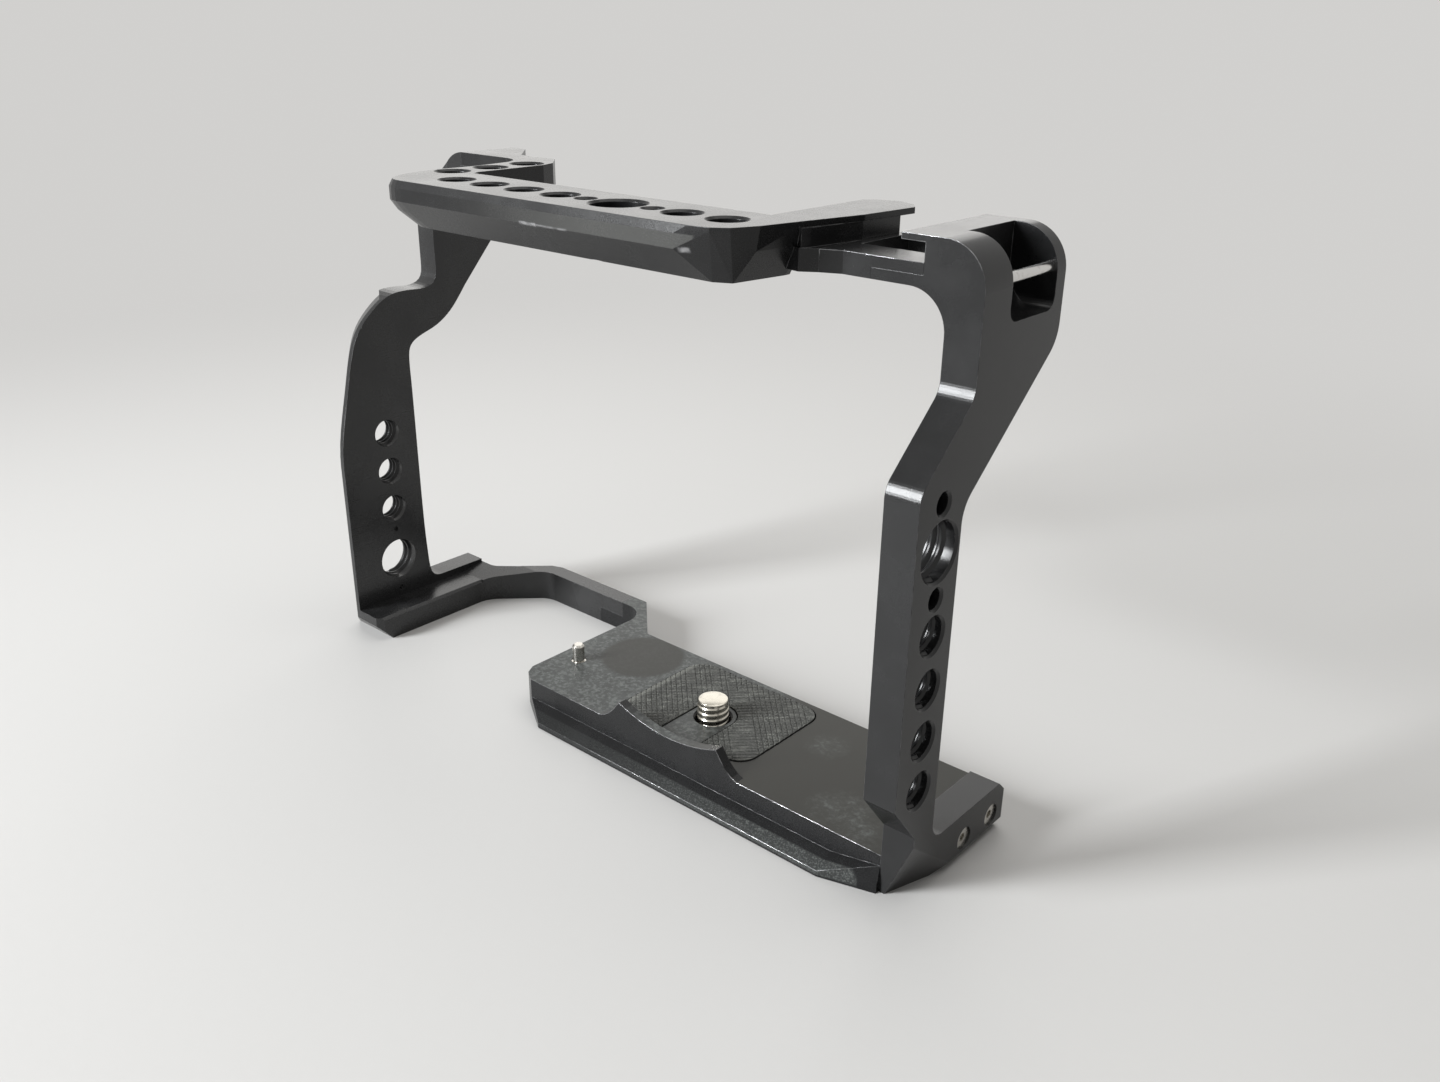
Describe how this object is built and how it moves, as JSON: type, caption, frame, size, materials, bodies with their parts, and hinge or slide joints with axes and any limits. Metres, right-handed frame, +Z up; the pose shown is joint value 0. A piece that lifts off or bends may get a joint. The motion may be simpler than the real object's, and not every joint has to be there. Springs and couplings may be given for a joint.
{
  "type": "camera cage",
  "caption": "Milled cage that wraps a camera body, with threaded accessory holes in its bar, arm and grip side, a captive camera screw and a clamping rail.",
  "frame": {"origin": "on the floor plane, midway between the two side plates and on the centre line of the base rail's depth", "axes": "+Z up, +X from the grip side to the side arm, -Y to the lens side"},
  "size_m": [0.1564, 0.0547, 0.1081],
  "materials": {
    "base_plate": "fine bead blasted, black anodised",
    "base_pad": "cross hatched, matt",
    "camera_screw": "turned, satin",
    "screw_washer": "smooth",
    "retaining_ring": "turned, satin",
    "locating_pin": "turned, satin",
    "key": "turned, satin",
    "key_magnets": "nickel plated",
    "side_arm": "fine bead blasted, black anodised",
    "strap_pin": "turned, satin",
    "foot_screws": "turned, satin",
    "corner_bracket": "fine bead blasted, black anodised",
    "corner_screws": "turned, satin",
    "arm_head_screws": "turned, satin",
    "top_bar": "fine bead blasted, black anodised",
    "shoulder": "fine bead blasted, black anodised",
    "shoulder_screws": "turned, satin",
    "neck_screws": "turned, satin",
    "grip_plate": "fine bead blasted, black anodised",
    "grip_screws": "turned, satin",
    "grip_rail": "fine bead blasted, black anodised",
    "rail_screws": "turned, satin"
  },
  "bodies": {
    "frame": {"base_plate": "base_plate", "base_pad": "base_pad", "retaining_ring": "retaining_ring", "locating_pin": "locating_pin", "key_magnets": "key_magnets", "side_arm": "side_arm", "strap_pin": "strap_pin", "foot_screws": "foot_screws", "corner_bracket": "corner_bracket", "corner_screws": "corner_screws", "arm_head_screws": "arm_head_screws", "top_bar": "top_bar", "shoulder": "shoulder", "shoulder_screws": "shoulder_screws", "neck_screws": "neck_screws", "grip_plate": "grip_plate", "grip_screws": "grip_screws", "grip_rail": "grip_rail", "rail_screws": "rail_screws"},
    "washer": {"screw_washer": "screw_washer"},
    "screw": {"camera_screw": "camera_screw"},
    "key": {"key": "key"}
  },
  "joints": [
    {"name": "screw_lift", "type": "slide", "parent": "frame", "child": "washer", "axis": [0, 0, 1], "range_m": [-0.001, 0]},
    {"name": "screw_turn", "type": "hinge", "parent": "washer", "child": "screw", "pos_m": [0.022, -0.0011, 0.0035], "axis": [0, 0, 1], "continuous": true},
    {"name": "key_slide", "type": "slide", "parent": "frame", "child": "key", "axis": [0, 1, 0], "range_m": [0, 0.024]}
  ]
}
